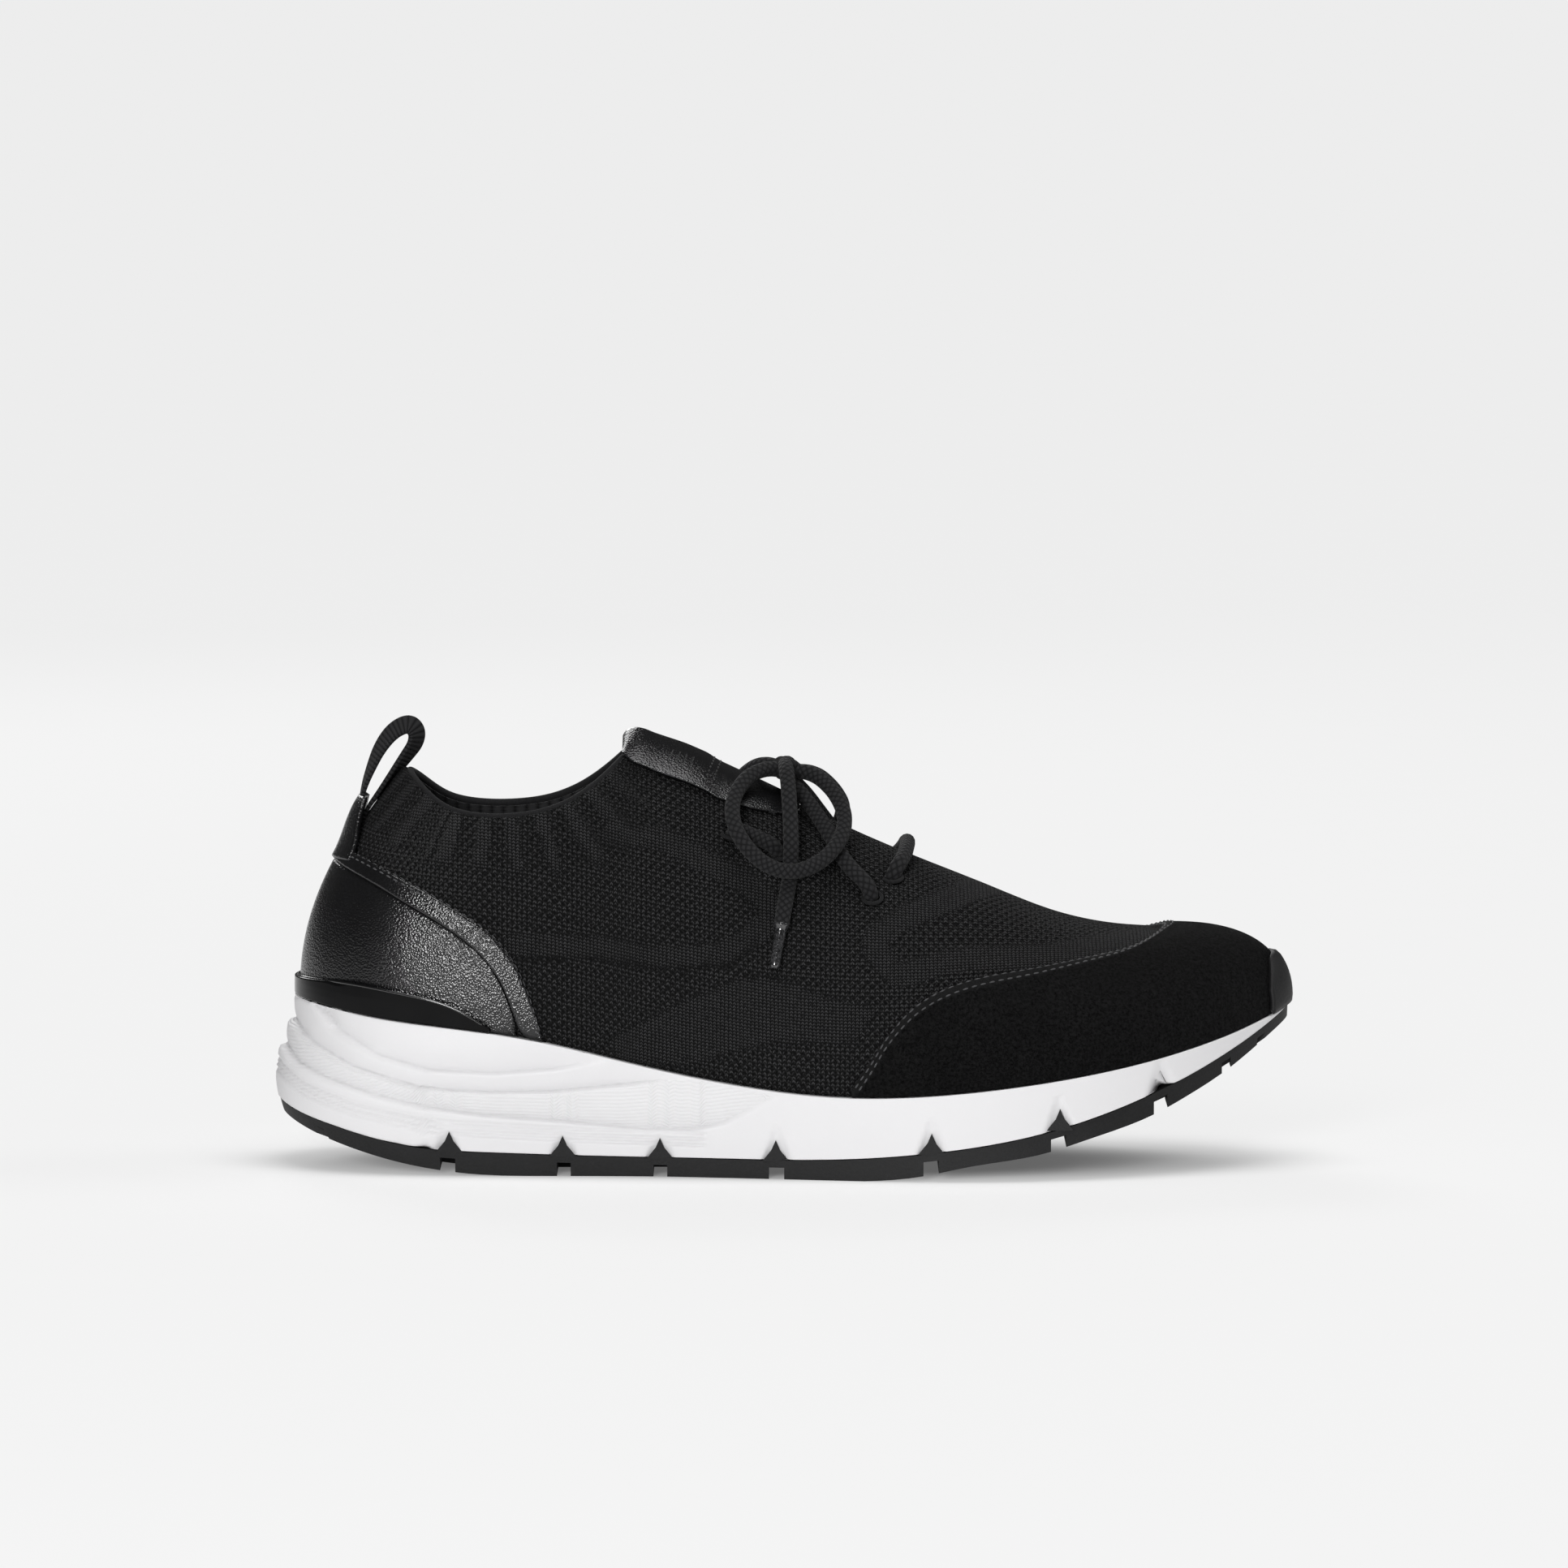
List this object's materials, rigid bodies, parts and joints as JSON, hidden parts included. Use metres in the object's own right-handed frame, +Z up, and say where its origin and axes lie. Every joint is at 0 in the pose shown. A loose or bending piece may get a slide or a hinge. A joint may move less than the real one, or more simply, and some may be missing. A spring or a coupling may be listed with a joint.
{
  "type": "running shoe",
  "caption": "Low running shoe for the right foot: knitted bootie upper with leather heel and suede toe, round laces, thick foam midsole and lugged rubber outsole.",
  "frame": {"origin": "on the ground, under the middle of the shoe's outline without the laces", "axes": "+X towards the toe, +Y towards the medial (inner) side, +Z up"},
  "size_m": [0.2982, 0.1046, 0.1307],
  "materials": {
    "knit": "matte engineered knit",
    "leather": "fine grain, satin",
    "suede": "napped suede",
    "rubber": "matte moulded rubber",
    "heel_clip": "gloss moulded",
    "stiffener": "pressed fibre",
    "lining": "brushed cloth",
    "webbing": "ribbed webbing",
    "lace": "braided cord",
    "aglet": "clear film over braid",
    "foam": "matte moulded foam",
    "insole_foam": "open foam",
    "board": "stitched fibre board"
  },
  "bodies": {
    "shoe": {"knit_upper": "knit", "heel_leather": "leather", "heel_welt": "leather", "heel_tab": "leather", "toe_cap": "suede", "toe_bumper": "rubber", "heel_clip": "heel_clip", "heel_counter": "stiffener", "collar_lining": "lining", "toe_puff": "stiffener", "eyelet_stay_lateral": "lining", "eyelet_stay_medial": "lining", "tongue_patch": "leather", "pull_loop": "webbing", "lace_knot": "lace", "aglet_lateral": "aglet", "aglet_medial": "aglet", "midsole": "foam", "outsole": "rubber", "insole_board": "board", "lace_front_bar": "lace", "lace_strand_lateral": "lace", "lace_strand_medial": "lace", "lace_side_bar_lateral": "lace", "lace_side_bar_medial": "lace", "lace_loop_lateral": "lace", "lace_loop_medial": "lace", "lace_end_lateral": "lace", "lace_end_medial": "lace"},
    "tongue_tab": {"tongue_tab": "leather"},
    "insole": {"insole_foam": "insole_foam", "insole_top_cloth": "lining"}
  },
  "joints": [
    {"name": "tongue_tab_lift", "type": "hinge", "parent": "shoe", "child": "tongue_tab", "pos_m": [-0.0202, 0, 0.119], "axis": [0, 1, 0], "range_deg": [0, 35]},
    {"name": "insole_lift", "type": "hinge", "parent": "shoe", "child": "insole", "pos_m": [0.1425, 0, 0.0425], "axis": [0, 1, 0], "range_deg": [0, 5]}
  ]
}
